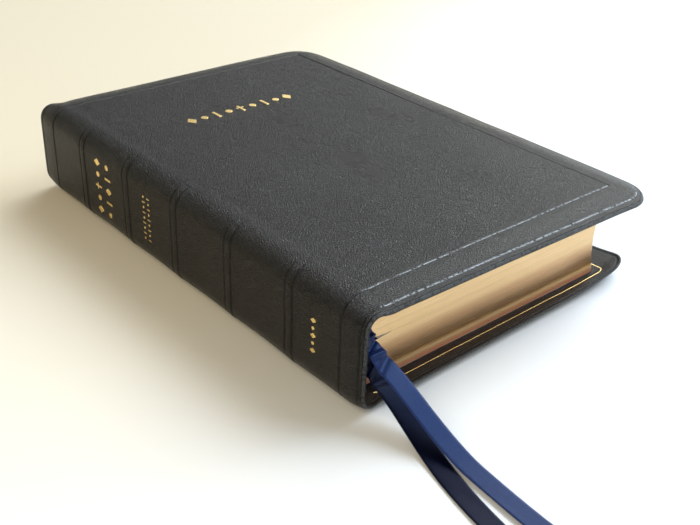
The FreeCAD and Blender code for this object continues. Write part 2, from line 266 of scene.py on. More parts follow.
COVER_LEATHER = leather("cover_leather", (0.0075, 0.0075, 0.0085), (0.0012, 0.0012, 0.0016), 0.31)
LINING_LEATHER = leather("lining_leather", (0.014, 0.009, 0.006), (0.006, 0.004, 0.003), 0.40,
                         grain_size=0.6, with_painted_highlight=False)
print("leathers:", COVER_LEATHER.name, LINING_LEATHER.name)

# %% [markdown]
# ## Gilt and paper
# The edges of the pages are sanded flat, coloured red and covered in gold leaf, so
# they reflect what is in front of them, smeared along the height of the block by
# the edges of some hundreds of leaves. A noise stretched along the leaves makes the
# fine lines. The red shows through where the gold is thin, at the outermost leaves.
# Below the middle a browner band is painted on the gold, as painted reflection of the dark cover edge
# below, and at the bottom the gold is less metallic.

# %% Gilt and paper finishes
RED_UNDER_GOLD = (0.78, 0.27, 0.17)
PAINTED_REFLECTION_GOLD = (0.58, 0.33, 0.17)
BRIGHT_GOLD, DEEP_GOLD = (0.86, 0.62, 0.34), (0.72, 0.47, 0.22)
LEAF_LINES = (22, 22, 4200)
BLOCK_MIDDLE = (first_low.z + last_high.z) / 2
BLOCK_HALF = (last_high.z - first_low.z) / 2


def page_gilt():
    material, tree, shader = new_finish("gilt_pages", Metallic=1.0)
    leaves = noise(tree, stretched(tree, LEAF_LINES), 1.0, 4.0, Roughness=0.65)
    clouds = noise(tree, stretched(tree, (260, 260, 900)), 1.0, 4.0)
    gold = ramp(tree, leaves, (0.3, DEEP_GOLD), (0.7, BRIGHT_GOLD))
    place = add(tree, "TexCoord").outputs["Object"]
    height = add(tree, "SeparateXYZ", Vector=place).outputs["Z"]
    from_middle = math_node(tree, "ABSOLUTE", math_node(tree, "SUBTRACT", height, BLOCK_MIDDLE))
    outermost = spread(tree, from_middle, BLOCK_HALF - 2.4 * MM, BLOCK_HALF - 1.0 * MM)
    gold = painted_over(tree, gold, times(tree, outermost, plus(tree, clouds, 0.25)),
                        RED_UNDER_GOLD)
    # A browner band below the middle: painted reflection of the dark cover edge below it.
    reflection_rise = spread(tree, from_middle, 0.10 * BLOCK_HALF, 0.34 * BLOCK_HALF, smooth=True)
    bottom_band = spread(tree, from_middle, 0.72 * BLOCK_HALF, 0.84 * BLOCK_HALF, smooth=True)
    below = math_node(tree, "LESS_THAN", height, BLOCK_MIDDLE)
    painted_reflection = times(tree, math_node(tree, "SUBTRACT", reflection_rise, bottom_band), below)
    gold = painted_over(tree, gold, times(tree, painted_reflection, 0.75), PAINTED_REFLECTION_GOLD)
    satiny = times(tree, times(tree, bottom_band, below), 0.7)
    feed(tree, shader, Base_Color=gold, Metallic=math_node(tree, "SUBTRACT", 1.0, satiny),
         Roughness=spread(tree, clouds, 0.3, 0.7, 0.30, 0.37),
         Normal=bump(tree, leaves, 0.000005, 0.5))
    return material


def paper(name, light, dark):
    material, tree, shader = new_finish(name, Specular_IOR_Level=0.25, Sheen_Weight=0.05,
                                        Roughness=0.82)
    fibres = noise(tree, stretched(tree, (900, 260, 900)), 1.0, 5.0)
    clouds = noise(tree, stretched(tree, (30, 30, 30)), 1.0, 3.0)
    both = plus(tree, times(tree, fibres, 0.4), times(tree, clouds, 0.6))
    feed(tree, shader, Base_Color=ramp(tree, both, (0.35, dark), (0.65, light)),
         Normal=bump(tree, fibres, 0.00004, 0.5))
    return material


PAGE_GILT = page_gilt()
PAGE_PAPER = paper("page_paper", (0.86, 0.81, 0.70), (0.80, 0.74, 0.62))
ENDPAPER = paper("endpaper", (0.80, 0.75, 0.66), (0.72, 0.67, 0.57))
BOARD = paper("board", (0.36, 0.34, 0.31), (0.28, 0.26, 0.24))
print("pages:", PAGE_GILT.name, PAGE_PAPER.name, ENDPAPER.name, BOARD.name)

# %% Gold leaf for the tooling
def gold_leaf():
    material, tree, shader = new_finish("gold_leaf", Metallic=1.0, Roughness=0.36)
    specks = noise(tree, stretched(tree, (2200, 2200, 2200)), 1.0, 3.0)
    feed(tree, shader, Base_Color=ramp(tree, specks, (0.35, (0.70, 0.46, 0.14)),
                                       (0.55, (1.0, 0.76, 0.34))),
         Normal=bump(tree, specks, 0.00006, 0.6))
    return material


GOLD_LEAF = gold_leaf()

# %% [markdown]
# ## Ribbon satin
# Satin ribbon is woven with long floating threads along its length, so it shines in a broad soft way, with
# a fine sparkle. The pieces carry a map of their own width and length, and the weave runs along it: fine
# ribs across and threads along. Along both edges the picot loops are painted lighter, as painted
# highlight.

# %% Satin finish
PICOT_PITCH = 0.5 * MM
PICOT_LINE = 0.462


def satin(name, light, dark, sheen, gloss, output="UV", weave_scale=1.0):
    material, tree, shader = new_finish(
        name, Specular_IOR_Level=gloss, Specular_Tint=(*sheen, 1), Sheen_Weight=0.02,
        Sheen_Roughness=0.35, Sheen_Tint=(*sheen, 1), Anisotropic=0.4)
    threads = noise(tree, stretched(tree, (24.0 * weave_scale, 620.0, 1.0), output), 1.0, 3.0)
    picks = noise(tree, stretched(tree, (60.0 * weave_scale, 3800.0, 1.0), output))
    weave = plus(tree, times(tree, threads, 0.5), times(tree, picks, 0.5))
    cloth = ramp(tree, weave, (0.35, dark), (0.65, light))
    if output == "UV":
        across_along = add(tree, "TexCoord").outputs["UV"]
        spot = add(tree, "SeparateXYZ", Vector=across_along)
        from_centre = math_node(tree, "ABSOLUTE", spot.outputs["X"])
        at_edge = math_node(tree, "GREATER_THAN", from_centre, PICOT_LINE)
        loops = math_node(tree, "SINE", times(tree, spot.outputs["Y"], 2 * math.pi / PICOT_PITCH))
        loop_highlight_share = times(tree, at_edge, math_node(tree, "GREATER_THAN", loops, 0.0))
        # The picot loops along both edges are painted lighter in ticks, as painted highlight.
        painted_loop_highlight = [min(1.0, 3.0 * c + 0.04) for c in light]
        cloth = painted_over(tree, cloth, times(tree, loop_highlight_share, 0.6), painted_loop_highlight)
    feed(tree, shader, Base_Color=cloth, Roughness=spread(tree, picks, 0.3, 0.7, 0.34, 0.46),
         Normal=bump(tree, weave, 0.00006, 0.7))
    return material


# light thread, dark gap, tint of the gloss, gloss
BLUE = ((0.007, 0.017, 0.090), (0.002, 0.005, 0.028), (0.20, 0.42, 1.0), 0.30)
# The lower ribbon is navy, and its colour is made darker still, as painted shade for where it lies in
# shadow under the upper ribbon.
NAVY_AND_SHADE = ((0.0008, 0.0018, 0.014), (0.0003, 0.0007, 0.005), (0.10, 0.18, 0.5), 0.15)
BLUE_SATIN = satin("blue_ribbon", *BLUE)
NAVY_AND_SHADE_SATIN = satin("navy_ribbon", *NAVY_AND_SHADE)
BLUE_IN_PAGES = satin("blue_ribbon_in_pages", *BLUE, output="Object", weave_scale=140.0)
NAVY_AND_SHADE_IN_PAGES = satin("navy_ribbon_in_pages", *NAVY_AND_SHADE, output="Object", weave_scale=140.0)
print("ribbons:", BLUE_SATIN.name, NAVY_AND_SHADE_SATIN.name)

# %% [markdown]
# ## Thread and cloth
# The sewing is waxed linen thread, twisted, and the hinges are a plain woven cotton.
# Both are mostly hidden, and show when the book is opened.

# %% Thread and cloth finishes
def woven(name, light, dark, threads_per_metre):
    material, tree, shader = new_finish(name, Sheen_Weight=0.2, Roughness=0.8)
    place = stretched(tree, (threads_per_metre,) * 3)
    across, down = (add(tree, "TexWave", {"bands_direction": way}, Vector=place,
                        Scale=1.0, Distortion=0.6).outputs["Fac"] for way in "XY")
    cloth = times(tree, across, down)
    feed(tree, shader, Base_Color=ramp(tree, cloth, (0.1, dark), (0.8, light)),
         Normal=bump(tree, cloth, 0.0001, 0.7))
    return material


HINGE_CLOTH = woven("hinge_cloth", (0.030, 0.030, 0.034), (0.010, 0.010, 0.012), 300.0)
LINEN_THREAD = woven("thread", (0.80, 0.75, 0.63), (0.52, 0.47, 0.37), 500.0)

# %% [markdown]
# ## Building blocks for meshes
# `mesh_piece` turns points and faces into an object, and `bent_spline` turns a few control points into the
# smooth line that a ribbon follows. The line is a NURBS spline, which is drawn to its control points
# without passing through them.

# %% Mesh helpers
def quads_of(table, flip=False):
    """Four-cornered faces between the neighbours in a table of point numbers."""
    a, b, c, d = table[:-1, :-1], table[1:, :-1], table[1:, 1:], table[:-1, 1:]
    order = (a, d, c, b) if flip else (a, b, c, d)
    return np.stack([q.ravel() for q in order], axis=1)


def rim_of(table):
    """The point numbers round the outside of a table."""
    return np.concatenate([table[:-1, 0], table[-1, :-1], table[:0:-1, -1], table[0, :0:-1]])


def mesh_piece(name, points, faces, finishes, finish_of_face=None, smooth=True):
    mesh = bpy.data.meshes.new(name)
    mesh.from_pydata([tuple(p) for p in points], [], [tuple(f) for f in faces])
    for finish in finishes:
        mesh.materials.append(finish)
    if finish_of_face is not None:
        mesh.polygons.foreach_set("material_index", np.array(finish_of_face, dtype=np.int32))
    mesh.polygons.foreach_set("use_smooth", [smooth] * len(mesh.polygons))
    mesh.update()
    piece = bpy.data.objects.new(name, mesh)
    bpy.context.scene.collection.objects.link(piece)
    return piece


def bent_spline(name, control_points):
    """The points of a smooth line drawn to its control points, read from a NURBS spline."""
    curve = bpy.data.curves.new(name, "CURVE")
    curve.dimensions = "3D"
    curve.resolution_u = 24
    spline = curve.splines.new("NURBS")
    spline.points.add(len(control_points) - 1)
    for point, place in zip(spline.points, control_points):
        point.co = (*place, 1)
    spline.order_u = 3
    spline.use_endpoint_u = True
    carrier = bpy.data.objects.new(name, curve)
    bpy.context.scene.collection.objects.link(carrier)
    line = bpy.data.meshes.new_from_object(carrier)
    points = np.array([v.co for v in line.vertices], float)
    bpy.data.objects.remove(carrier)
    bpy.data.curves.remove(curve)
    bpy.data.meshes.remove(line)
    return points


def evenly_along(points, step):
    """The same line with its points a fixed step apart."""
    runs = np.linalg.norm(np.diff(points, axis=0), axis=1)
    travel = np.concatenate([[0], np.cumsum(runs)])
    stations = np.linspace(0, travel[-1], int(round(travel[-1] / step)) + 1)
    return np.stack([np.interp(stations, travel, points[:, k]) for k in range(3)], axis=1), stations


# %% [markdown]
# ## Ribbon markers
# Two satin ribbons are glued to the back of the pages at the head, run down between
# the leaves and hang out at the tail. The book lies flat, so each one drapes out of
# the hollow of the spine, down onto the table, and runs away from the book.
# A ribbon is 7 mm wide and 0.3 mm thick: a band that is level across its width,
# with small loops (a picot) along both edges, and a few soft wrinkles where it turns.

# %% Ribbons
RIBBON_WIDTH = 7 * MM
RIBBON_THICKNESS = 0.3 * MM
PICOT_DEPTH = 0.14 * MM

# across from the back of the spine, along from the tail of the pages, height; millimetres
UPPER_RUN = [
    (4.6, -2.6, 30.0), (5.4, -5.4, 26.0), (6.9, -8.4, 21.6), (8.2, -13.0, 17.8), (9.0, -19.7, 14.0),
    (10.0, -28.0, 8.4), (10.6, -36.0, 4.0), (10.5, -44.0, 1.5), (10.0, -53.0, 1.0),
             (9.0, -64.0, 1.0),
    (8.2, -75.0, 1.0), (8.6, -88.0, 1.0), (11.0, -100.0, 1.0),
]
LOWER_RUN = [
    (5.2, -1.4, 19.5), (6.3, -4.4, 16.4), (8.0, -9.4, 12.0), (8.9, -15.6, 8.0), (8.7, -22.0, 4.4),
    (7.6, -29.0, 1.9), (5.4, -37.0, 0.8), (3.2, -44.5, 0.5), (1.4, -52.0, 0.5), (-0.2, -60.0, 0.5),
    (-2.0, -72.0, 0.5), (-3.6, -85.0, 0.5), (-4.8, -96.0, 0.5),
]


def in_frame(run):
    return [(SPINE_BACK + a * MM, PAGES_TAIL + b * MM, c * MM) for a, b, c in run]


def ribbon_band(name, run, finish, wrinkles, slant):
    """A flat band along a smooth run. Wrinkles are (station, width, height, lean) in mm."""
    line, stations = evenly_along(bent_spline(name + "_line", in_frame(run)), PICOT_PITCH / 2)
    tangent = np.gradient(line, axis=0)
    tangent /= np.linalg.norm(tangent, axis=1)[:, None]
    level = np.cross(tangent, [0, 0, 1.0])
    steep = np.linalg.norm(level, axis=1)
    level = np.where(steep[:, None] > 0.25, level / np.maximum(steep[:, None], 1e-6), [-1.0, 0, 0])
    for _ in range(60):
        level[1:-1] = (level[:-2] + level[1:-1] + level[2:]) / 3
    level /= np.linalg.norm(level, axis=1)[:, None]
    face = np.cross(level, tangent)
    face /= np.linalg.norm(face, axis=1)[:, None]
    turn = np.interp(stations, [0, 12 * MM, 45 * MM], [slant, slant * 0.4, 0])
    across = np.cos(turn)[:, None] * level + np.sin(turn)[:, None] * face
    face = np.cross(across, tangent)
    widths = np.linspace(-1, 1, 15)
    lift = np.zeros((len(line), len(widths)))
    for station, width, height, lean in wrinkles:
        middle = station * MM + lean * MM * widths[None, :]
        lift += height * MM * np.exp(-(((stations[:, None] - middle) / (width * MM)) ** 2))
    lift += 0.12 * MM * np.sin(stations[:, None] / (9 * MM)) * widths[None, :]
    points, texture = [], []
    for side in (1, -1):
        for k in range(len(line)):
            loop = PICOT_DEPTH * (1 if k % 2 else -1)
            for j, w in enumerate(widths):
                reach = (w * (RIBBON_WIDTH / 2 - PICOT_DEPTH)
                         + (np.sign(w) * loop if abs(w) == 1 else 0))
                edge = 0.35 if abs(w) == 1 else 1.0
                points.append(line[k] + across[k] * reach
                              + face[k] * (lift[k, j] + side * edge * RIBBON_THICKNESS / 2))
                texture.append((w / 2, stations[k]))
    rows, columns = len(line), len(widths)
    sheet = rows * columns
    index = np.arange(sheet).reshape(rows, columns)
    rim = rim_of(index)
    after = np.roll(rim, -1)
    faces = np.concatenate([quads_of(index, True), quads_of(index + sheet),
                            np.stack([rim, after, after + sheet, rim + sheet], axis=1)])
    piece = mesh_piece(name, points, faces, [finish])
    layer = piece.data.uv_layers.new(name="UVMap")
    corner_vertices = np.zeros(len(piece.data.loops), dtype=np.int64)
    piece.data.loops.foreach_get("vertex_index", corner_vertices)
    layer.data.foreach_set("uv", np.array(texture, float)[corner_vertices].ravel())
    print(name, "%.1f mm long, lowest %.2f mm" % (stations[-1] / MM,
                                                  min(p[2] for p in points) / MM))
    return piece, line, stations[-1]


# run, finish, slot, wrinkles, slant
RIBBONS = {
    "upper": (UPPER_RUN, BLUE_SATIN, "blue_ribbon",
              [(3.0, 1.2, 0.5, 0.8), (5.6, 0.7, 0.9, -0.4), (8.2, 0.9, -0.6, 0.6),
               (11.0, 1.0, 0.7, -1.0), (14.5, 1.4, -0.5, 1.2)], -0.25),
    "lower": (LOWER_RUN, NAVY_AND_SHADE_SATIN, "navy_ribbon",
              [(2.5, 1.0, 0.5, 0.6), (5.0, 0.8, -0.6, -0.8), (8.0, 1.1, 0.6, 0.9),
               (12.0, 1.4, -0.4, -0.8)], -0.15),
}
for which, (run, finish, slot_name, wrinkles, slant) in RIBBONS.items():
    tail, line, length = ribbon_band("ribbon_" + which, run, finish, wrinkles, slant)
    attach(tail, "section_06")
    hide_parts(which + "_ribbon_tail")

# %% [markdown]
# ## The shape of the leather
# The case is one hide, so it is described by one function. `on_hide` takes a place
# on the flat hide (girth from the middle of the spine, and height up the book) and a
# depth below the grain side, and gives the point on the wrapped book. On the way it
# adds what a binder's hands add: the edges are rolled inwards past the pages, the
# joint is pressed a little, and the blind lines are pressed in with a hot tool.

# %% Wrap the hide round the book
HIDE_THICKNESS = 2.6 * MM
SPINE_THICKNESS = 2.0 * MM
EDGE_THICKNESS = 1.5 * MM
LIP_DROP = 2.9 * MM
LINE_DEPTH = 0.30 * MM
LINE_WIDTH = 0.34 * MM
COVER_SLIDE = 2.6 * MM
HEAD_OVER = 3.4 * MM
FORE_OVER = 2.6 * MM
CORNER_CURL = 2.6 * MM
CURL_REACH = 15 * MM
OUTER_LINE = 2.3 * MM
BAND_PITCH = 32.4 * MM
BANDS = [65.0 * MM - k * BAND_PITCH for k in range(5)]
BAND_HALF = 1.8 * MM


def smooth_step(value, start, end):
    t = np.clip((value - start) / (end - start), 0, 1)
    return t * t * (3 - 2 * t)


def pressed_line(distance, width=LINE_WIDTH):
    return np.exp(-((distance / width) ** 2))


def from_edge(girth, height):
    """Distance inside the outline of the flat hide, whose four corners are round."""
    across = np.abs(girth) - (HALF_GIRTH - CORNER)
    along = np.abs(height) - (HALF_HEIGHT - CORNER)
    outside = np.hypot(np.maximum(across, 0), np.maximum(along, 0))
    inside = np.minimum(np.maximum(across, along), 0)
    return CORNER - outside - inside


def relief(girth, height):
    """How far the grain side stands inwards of the smooth wrap."""
    side = np.abs(girth)
    fore = np.clip(1 - (HALF_GIRTH - side) / FORE_LIP, 0, 1)
    tail = np.clip(1 - (HALF_HEIGHT - np.abs(height)) / TAIL_LIP, 0, 1)
    on_cover = smooth_step(side, FLAT_SPINE + 4 * MM, FLAT_SPINE + SHOULDER_GIRTH + 4 * MM)
    drop = LIP_DROP * (0.4 + 0.6 * on_cover) * np.minimum(fore**2.2 + tail**2.2, 1.0)
    tip = np.hypot(HALF_GIRTH - side, HALF_HEIGHT - np.abs(height))
    drop = drop + np.where(girth < 0, CORNER_CURL,
                           0.5 * MM) * np.exp(-((tip / CURL_REACH) ** 2)) * np.minimum(fore + tail,
                                                                                       1)
    flat_start = FLAT_SPINE + SHOULDER_GIRTH
    drop = drop + 0.18 * MM * pressed_line(side - flat_start - 3 * MM, 3.2 * MM)
    fore_line = HALF_GIRTH - FORE_LIP
    tail_line = HALF_HEIGHT - TAIL_LIP
    inner = np.where(side < fore_line + LINE_WIDTH, pressed_line(np.abs(height) - tail_line), 0)
    inner = np.maximum(inner, np.where(np.abs(height) < tail_line + LINE_WIDTH,
                                       pressed_line(side - fore_line), 0))
    outer = pressed_line(from_edge(girth, height) - OUTER_LINE)
    drop = drop + LINE_DEPTH * np.maximum(inner, 0.8 * outer)
    fade = 1 - smooth_step(side, 15 * MM, 23 * MM)
    for middle in BANDS:
        away = np.abs(height - middle)
        drop = (drop + fade
                * (LINE_DEPTH * pressed_line(away - BAND_HALF) - 0.18 * MM * pressed_line(away, 1.5 * MM)))
    for size, reach, phase in ((0.10, 21.0, 0.4), (0.07, 13.0, 1.9), (0.05, 8.3, 4.1)):
        wave = (np.sin(girth / (reach * MM) * 2.1 + phase)
                * np.sin(height / (reach * MM) * 1.7 + 2 * phase))
        drop = drop + size * MM * 0.5 * (1 + wave)
    hollows = fade * 0.25 * MM * (1 - np.cos(2 * np.pi * (height - BANDS[0]) / BAND_PITCH)) / 2
    return drop + hollows


def painted_highlight_lines(girth, height):
    """How strongly a highlight is painted on the leather: along the tool lines at the tail, on the front.
    """
    side = np.abs(girth)
    tail_line = HALF_HEIGHT - TAIL_LIP
    inner = np.where(side < HALF_GIRTH - FORE_LIP, pressed_line(height + tail_line, 0.22 * MM), 0)
    outer = pressed_line(from_edge(girth, height) - OUTER_LINE, 0.22 * MM) * (height < -tail_line)
    return np.where(girth > FLAT_SPINE + SHOULDER_GIRTH, np.maximum(inner, outer), 0)


def on_hide(girth, height, depth=0.0):
    """Points on the book for places on the hide, at a depth inwards of the grain side."""
    side = np.where(girth < 0, -1.0, 1.0)
    reach = np.abs(girth)
    angle = np.clip((reach - FLAT_SPINE) / SHOULDER, 0, math.pi / 2)
    x = (SPINE_BACK + SHOULDER * (1 - np.cos(angle))
         + np.maximum(reach - FLAT_SPINE - SHOULDER_GIRTH, 0))
    z = np.minimum(reach, FLAT_SPINE) + SHOULDER * np.sin(angle)
    inwards = relief(girth, height) + depth
    x = x + np.cos(angle) * inwards
    z = z - np.sin(angle) * inwards
    slide = COVER_SLIDE * np.clip(girth / (HALF_GIRTH - CORNER), -1,
                                  1) * (height < 0) + HEAD_OVER * (height > 0)
    past_pages = np.clip((np.abs(height) - PAGES_HEAD) / TAIL_LIP, 0, 1)
    y = height + np.sign(height) * slide * past_pages
    x = x + FORE_OVER * np.clip((reach - HALF_GIRTH + FORE_LIP) / FORE_LIP, 0, 1)
    return np.stack([x, y, BOOK_TOP / 2 + side * z], axis=-1)


HINGE_GIRTH = FLAT_SPINE + SHOULDER_GIRTH + COVER_X - JOINT_X
HINGE_THICKNESS, HINGE_REACH = 1.0 * MM, 3.4 * MM


def hide_thickness(girth, height):
    """Leather, board and lining: pared over the spine, at the front turning line and at edges."""
    full = SPINE_THICKNESS + (HIDE_THICKNESS - SPINE_THICKNESS) * smooth_step(
        np.abs(girth), FLAT_SPINE, FLAT_SPINE + SHOULDER_GIRTH)
    hinge = np.exp(-((girth - HINGE_GIRTH) / HINGE_REACH)**4)
    full = full + (HINGE_THICKNESS - full) * hinge
    return full + (EDGE_THICKNESS - full) * (1 - smooth_step(from_edge(girth, height), 1.0 * MM,
                                                             5.0 * MM))


def round_corner(girth, height, corner_girth, corner_height, radius):
    """Moves places in the square corner of a sheet so that its outline becomes round."""
    u = (girth - corner_girth) / radius
    v = (np.abs(height) - corner_height) / radius
    both = (u > 0) & (v > 0)
    scale = np.where(both, np.maximum(u, v) / np.maximum(np.hypot(u, v), 1e-9), 1.0)
    sign = np.sign(height)
    return (np.where(both, corner_girth + radius * u * scale, girth),
            np.where(both, sign * (corner_height + radius * v * scale), height))


# %% [markdown]
# ## Cutting the hide into pieces that bend
# On the real case the leather is in one piece and bends at the joints. Here it is cut where it stays
# stiff, in the middle of the spine, of each round shoulder and of the joint strip. The pieces share the
# same rows of points at a cut, so no seam shows. Rows are set close together where a tool line runs and
# wide apart on the plain leather.

# %% Rows and columns of the hide
def rows_between(start, end, coarse, fine_spots):
    """Places from start to end, finer around (place, half width, step) spots."""
    places = [start, end]
    plain = np.linspace(start, end, max(2, int(math.ceil((end - start) / coarse)) + 1))
    places += list(plain)
    for spot, half, step in fine_spots:
        places += [p for p in np.arange(spot - half, spot + half + step / 2,
                                        step) if start < p < end]
    places = np.unique(np.round(np.array(places), 7))
    kept = [places[0]]
    for p in places[1:-1]:
        near = min([step for spot, half, step in fine_spots if abs(p - spot) <= half + 1e-9] or [coarse])
        if p - kept[-1] >= 0.6 * near and places[-1] - p >= 0.3 * near:
            kept.append(p)
    return np.array(kept + [places[-1]])


RIM = EDGE_THICKNESS / 2
RIM_STEPS = 8
# The first rings of each rolled rim get a faint painted highlight.
RIM_PAINTED_HIGHLIGHT = 0.10
HIGHLIGHT_RINGS = 3
seam_shoulder = FLAT_SPINE + SHOULDER_GIRTH / 2
seam_strip = FLAT_SPINE + SHOULDER_GIRTH + (COVER_X - JOINT_X) / 2
height_spots = [(sign * (HALF_HEIGHT - TAIL_LIP), 0.9 * MM, 0.16 * MM) for sign in (-1, 1)]
height_spots += [(sign * (HALF_HEIGHT - OUTER_LINE), 0.9 * MM, 0.16 * MM) for sign in (-1, 1)]
height_spots += [(sign * (HALF_HEIGHT - 4 * MM), 4 * MM, 0.6 * MM) for sign in (-1, 1)]
band_spots = ([(m + s * BAND_HALF, 0.8 * MM, 0.2 * MM) for m in BANDS for s in (-1, 1)]
              + [(m, 1.6 * MM, 0.4 * MM) for m in BANDS])
hide_heights = rows_between(-HALF_HEIGHT + RIM, HALF_HEIGHT - RIM, 2.6 * MM,
                            height_spots + band_spots)
girth_spots = [(HALF_GIRTH - FORE_LIP, 0.9 * MM, 0.16 * MM),
               (HALF_GIRTH - OUTER_LINE, 0.9 * MM, 0.16 * MM),
               (HALF_GIRTH - 4 * MM, 4 * MM, 0.6 * MM),
               (FLAT_SPINE + SHOULDER_GIRTH + 3 * MM, 6 * MM, 0.9 * MM),
               (HINGE_GIRTH, 5 * MM, 0.45 * MM), (seam_strip, 0.3 * MM, 0.15 * MM)]
print("hide rows", len(hide_heights))


def hide_piece(name, start, end, with_edge):
    """A length of the hide from one girth to another, with its rolled edges and its inner face."""
    mirror = -1.0 if end < start or start < 0 and end <= 0 else 1.0
    low, high = (sorted((abs(start), abs(end))) if start * end > 0 or start == 0 or end == 0
                 else (start, end))
    last = HALF_GIRTH - RIM if with_edge else high
    spots = girth_spots if with_edge else [(low, 0.3 * MM, 0.15 * MM), (high, 0.3 * MM, 0.15 * MM)]
    columns = rows_between(low, last, 2.6 * MM if with_edge else 0.9 * MM, spots)
    girth, height = np.meshgrid(columns, hide_heights, indexing="ij")
    if with_edge:
        girth, height = round_corner(girth, height, HALF_GIRTH - CORNER, HALF_HEIGHT - CORNER,
                                     CORNER - RIM)
    thickness = hide_thickness(girth, height)
    nx, ny = girth.shape
    outer = on_hide(mirror * girth, height)
    inner = on_hide(mirror * girth, height, thickness)
    points = [outer.reshape(-1, 3), inner.reshape(-1, 3)]
    sheet = nx * ny
    index = np.arange(sheet).reshape(nx, ny)
    flipped = mirror < 0
    quads = [quads_of(index, flipped), quads_of(index + sheet, not flipped)]
    if with_edge:
        edges = [np.concatenate([index[:, 0], index[-1, 1:], index[::-1, -1][1:]])]
    else:
        edges = [index[:, 0], index[::-1, -1]]
    for chain in edges:
        g, h = girth.ravel()[chain], height.ravel()[chain]
        core_g = np.minimum(g, HALF_GIRTH - CORNER) if with_edge else g
        core_h = np.clip(h, -(HALF_HEIGHT - CORNER), HALF_HEIGHT - CORNER)
        out = np.stack([g - core_g, h - core_h], axis=1)
        out /= np.linalg.norm(out, axis=1)[:, None]
        thick = thickness.ravel()[chain]
        rings = [chain]
        for k in range(1, RIM_STEPS):
            phi = math.pi * k / RIM_STEPS
            shift = RIM * math.sin(phi)
            ring = on_hide(mirror * (g + out[:, 0] * shift), h + out[:, 1] * shift,
                           thick * (1 - math.cos(phi)) / 2)
            start_at = sum(len(p) for p in points)
            points.append(ring)
            rings.append(np.arange(start_at, start_at + len(chain)))
        rings.append(chain + sheet)
        quads.append(quads_of(np.array(rings).T, flipped))
    piece = mesh_piece(name, np.concatenate(points), np.concatenate(quads), [COVER_LEATHER])
    # Painted highlight: along the tail tool lines and on the first rings of the rolled rim.
    painted_highlight_share = np.zeros(len(piece.data.vertices), np.float32)
    painted_highlight_share[:sheet] = painted_highlight_lines(mirror * girth, height).ravel()
    painted_highlight_share[2 * sheet:2 * sheet + HIGHLIGHT_RINGS * len(edges[0])] = RIM_PAINTED_HIGHLIGHT
    piece.data.attributes.new("painted_highlight", "FLOAT", "POINT").data.foreach_set("value", painted_highlight_share)
    return piece


back_skin = hide_piece("leather_back_cover", -seam_shoulder, -HALF_GIRTH, True)
back_bend = hide_piece("leather_back_shoulder", -seam_shoulder, 0.0, False)
front_bend = hide_piece("leather_front_shoulder", 0.0, seam_shoulder, False)
strip_bend = hide_piece("leather_joint_strip", seam_shoulder, seam_strip, False)
front_skin = hide_piece("leather_front_cover", seam_strip, HALF_GIRTH, True)
for piece in (back_skin, back_bend, front_bend, strip_bend, front_skin):
    print(piece.name, len(piece.data.polygons), "faces")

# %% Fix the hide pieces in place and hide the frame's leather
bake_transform(back_skin)
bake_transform(back_bend)
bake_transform(front_bend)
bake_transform(strip_bend)
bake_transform(front_skin)
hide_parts("back_cover_leather")
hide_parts("back_shoulder_leather")
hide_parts("spine_leather")
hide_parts("front_shoulder_leather", "front_joint_leather")
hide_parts("front_cover_leather")

# %% [markdown]
# ## Boards and linings
# Inside each cover lies a thin flexible board, and over it a smooth dark lining that
# stops short of the turned-in edge. Both follow the roll of the edge, so they are cut
# from the same function as the hide, at their own depths. The hide is measured from
# its grain side, and so the lining lies at the hide's whole thickness.

# %% Boards and linings
LINING_LIFT = 0.12 * MM
LINING_SET_IN = 2.6 * MM
BOARD_SET_IN = 3.4 * MM
COVER_START = {1: COVER_X + 3.5 * MM - JOINT_X, -1: 3.5 * MM}


def inner_sheet(name, face, set_in, depth_of, finish):
    """A sheet inside the front (face 1) or back (-1) cover, between the depths of depth_of."""
    start = FLAT_SPINE + SHOULDER_GIRTH + COVER_START[face]
    columns = rows_between(start, HALF_GIRTH - set_in, 3 * MM,
                           [(HALF_GIRTH - 5 * MM, 5 * MM, 0.7 * MM),
                            (HINGE_GIRTH, 5 * MM, 0.45 * MM)])
    rows = rows_between(-HALF_HEIGHT + set_in, HALF_HEIGHT - set_in, 3 * MM,
                        [(sign * (HALF_HEIGHT - 5 * MM), 5 * MM, 0.7 * MM) for sign in (-1, 1)])
    girth, height = np.meshgrid(columns, rows, indexing="ij")
    girth, height = round_corner(girth, height, HALF_GIRTH - CORNER, HALF_HEIGHT - CORNER,
                                 CORNER - set_in)
    near, far = depth_of(girth, height)
    points = np.concatenate([on_hide(face * girth, height, near).reshape(-1, 3),
                             on_hide(face * girth, height, far).reshape(-1, 3)])
    nx, ny = girth.shape
    index = np.arange(nx * ny).reshape(nx, ny)
    quads = [quads_of(index), quads_of(index + nx * ny, True)]
    rim = rim_of(index)
    after = np.roll(rim, -1)
    quads.append(np.stack([after, rim, rim + nx * ny, after + nx * ny], axis=1))
    faces = np.concatenate(quads)
    return mesh_piece(name, points, faces if face > 0 else faces[:, ::-1], [finish])


def lining_depths(girth, height):
    thickness = hide_thickness(girth, height)
    return thickness - 0.05 * MM, thickness + LINING_LIFT


def board_depths(girth, height):
    thickness = hide_thickness(girth, height)
    return thickness * 0.4, thickness * 0.7


for face, side in ((1, "front"), (-1, "back")):
    lining = inner_sheet("lining_" + side, face, LINING_SET_IN, lining_depths, LINING_LEATHER)
    board = inner_sheet("board_" + side, face, BOARD_SET_IN, board_depths, BOARD)
    for piece, node, slot_name in ((lining, "lining", "lining_leather"), (board, "board", "board")):
        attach(piece, side + "_cover")
        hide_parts(side + "_cover_" + node)

# %% [markdown]
# ## Gold fillets on the linings
# A single gold line is rolled round each lining, a few millimetres outside the
# pages. It is a strip of leaf, hardly thicker than paint, so it is made as a thin
# band that follows a line on the lining and turns the corners on a small round.

